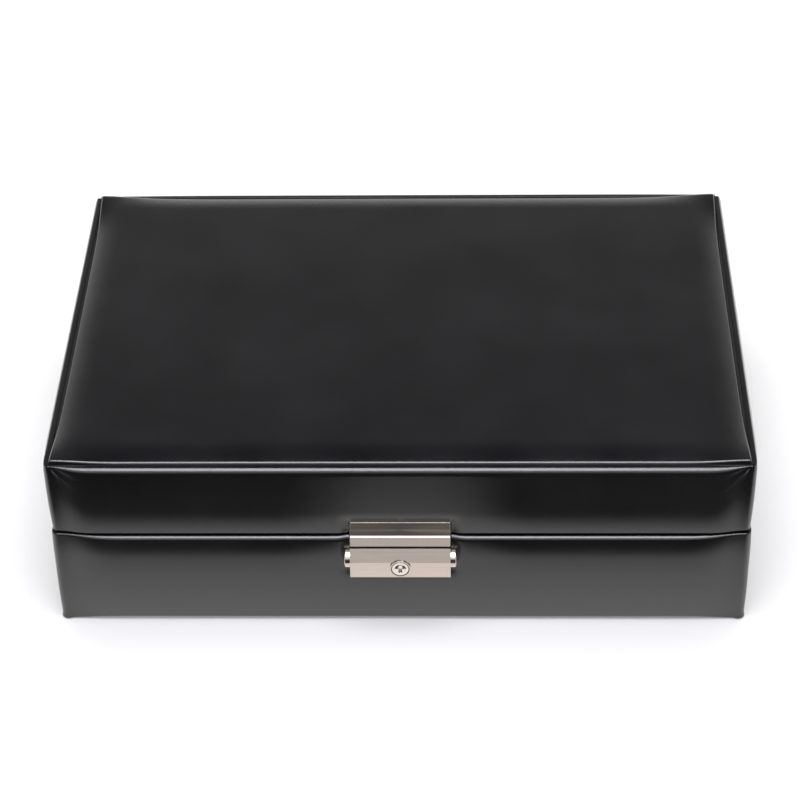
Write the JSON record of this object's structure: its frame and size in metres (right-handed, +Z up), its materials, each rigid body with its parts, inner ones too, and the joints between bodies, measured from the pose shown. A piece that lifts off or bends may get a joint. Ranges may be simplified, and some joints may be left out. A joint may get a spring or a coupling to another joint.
{
  "type": "watch box with drawer",
  "caption": "Leather-covered watch box with a hinged padded lid, a cushioned tray, a drawer behind the padded lower front, and a satin box lock with side push buttons.",
  "frame": {"origin": "under the middle of the whole box, lock and hinges included, on the table", "axes": "+X to the viewer's right along the front, front at -Y, +Z up"},
  "size_m": [0.3234, 0.2327, 0.0935],
  "materials": {
    "black_leather": "smooth black leather with a very fine grain and a soft sheen",
    "black_board": "fibreboard wrapped in matt black paper",
    "suede": "charcoal microsuede",
    "cushion_suede": "charcoal microsuede over foam",
    "satin_nickel": "satin brushed nickel, slightly warm",
    "steel": "bright zinc plate",
    "felt": "black wool felt"
  },
  "bodies": {
    "case": {"underside_felt": "felt", "base_board": "black_board", "left_side_wall": "black_board", "right_side_wall": "black_board", "back_wall": "black_board", "front_rail": "black_board", "tray_deck": "suede", "drawer_runners": "black_board", "left_side_leather": "black_leather", "right_side_leather": "black_leather", "back_leather": "black_leather", "left_lining": "suede", "right_lining": "suede", "front_lining": "suede", "rear_lining": "suede", "long_tray_divider": "suede", "cross_tray_dividers": "suede", "cushion_01": "cushion_suede", "cushion_02": "cushion_suede", "cushion_03": "cushion_suede", "cushion_04": "cushion_suede", "cushion_05": "cushion_suede", "cushion_06": "cushion_suede", "cushion_07": "cushion_suede", "cushion_08": "cushion_suede", "cushion_09": "cushion_suede", "cushion_10": "cushion_suede", "case_hinge_leaves": "satin_nickel", "hinge_pins": "steel", "case_hinge_screws": "steel"},
    "lid": {"lid_front_wall": "black_board", "lid_left_wall": "black_board", "lid_right_wall": "black_board", "lid_back_wall": "black_board", "lid_top_board": "black_board", "lid_leather_band": "black_leather", "lid_leather_spine": "black_leather", "top_leather_panel": "black_leather", "lid_lining": "suede", "lid_hinge_leaves": "satin_nickel", "lid_hinge_screws": "steel", "hasp_plate": "satin_nickel", "hasp_tongue": "satin_nickel", "hasp_screws": "steel"},
    "drawer": {"drawer_front_board": "black_board", "drawer_front_leather": "black_leather", "drawer_left_side": "black_board", "drawer_right_side": "black_board", "drawer_back": "black_board", "drawer_bottom": "black_board", "drawer_suede": "suede", "drawer_dividers": "suede", "lock_case": "satin_nickel", "lock_back_plate": "satin_nickel", "lock_screws": "steel", "left_button_spring": "steel", "right_button_spring": "steel"},
    "left_button": {"left_button": "satin_nickel"},
    "right_button": {"right_button": "satin_nickel"},
    "key_plug": {"key_plug": "satin_nickel"}
  },
  "joints": [
    {"name": "lid_hinge", "type": "hinge", "parent": "case", "child": "lid", "pos_m": [0, 0.11385, 0.0546], "axis": [-1, 0, 0], "range_deg": [0, 95]},
    {"name": "drawer_slide", "type": "slide", "parent": "case", "child": "drawer", "axis": [0, -1, 0], "range_m": [0, 0.14]},
    {"name": "left_button_press", "type": "slide", "parent": "drawer", "child": "left_button", "axis": [1, 0, 0], "range_m": [0, 0.0018], "stiffness_N_per_m": 300, "springref_m": -0.004, "deforming": ["left_button_spring"]},
    {"name": "right_button_press", "type": "slide", "parent": "drawer", "child": "right_button", "axis": [-1, 0, 0], "range_m": [0, 0.0018], "stiffness_N_per_m": 300, "springref_m": -0.004, "deforming": ["right_button_spring"]},
    {"name": "key_turn", "type": "hinge", "parent": "drawer", "child": "key_plug", "pos_m": [0, -0.112, 0.041], "axis": [0, -1, 0], "range_deg": [0, 90]}
  ]
}
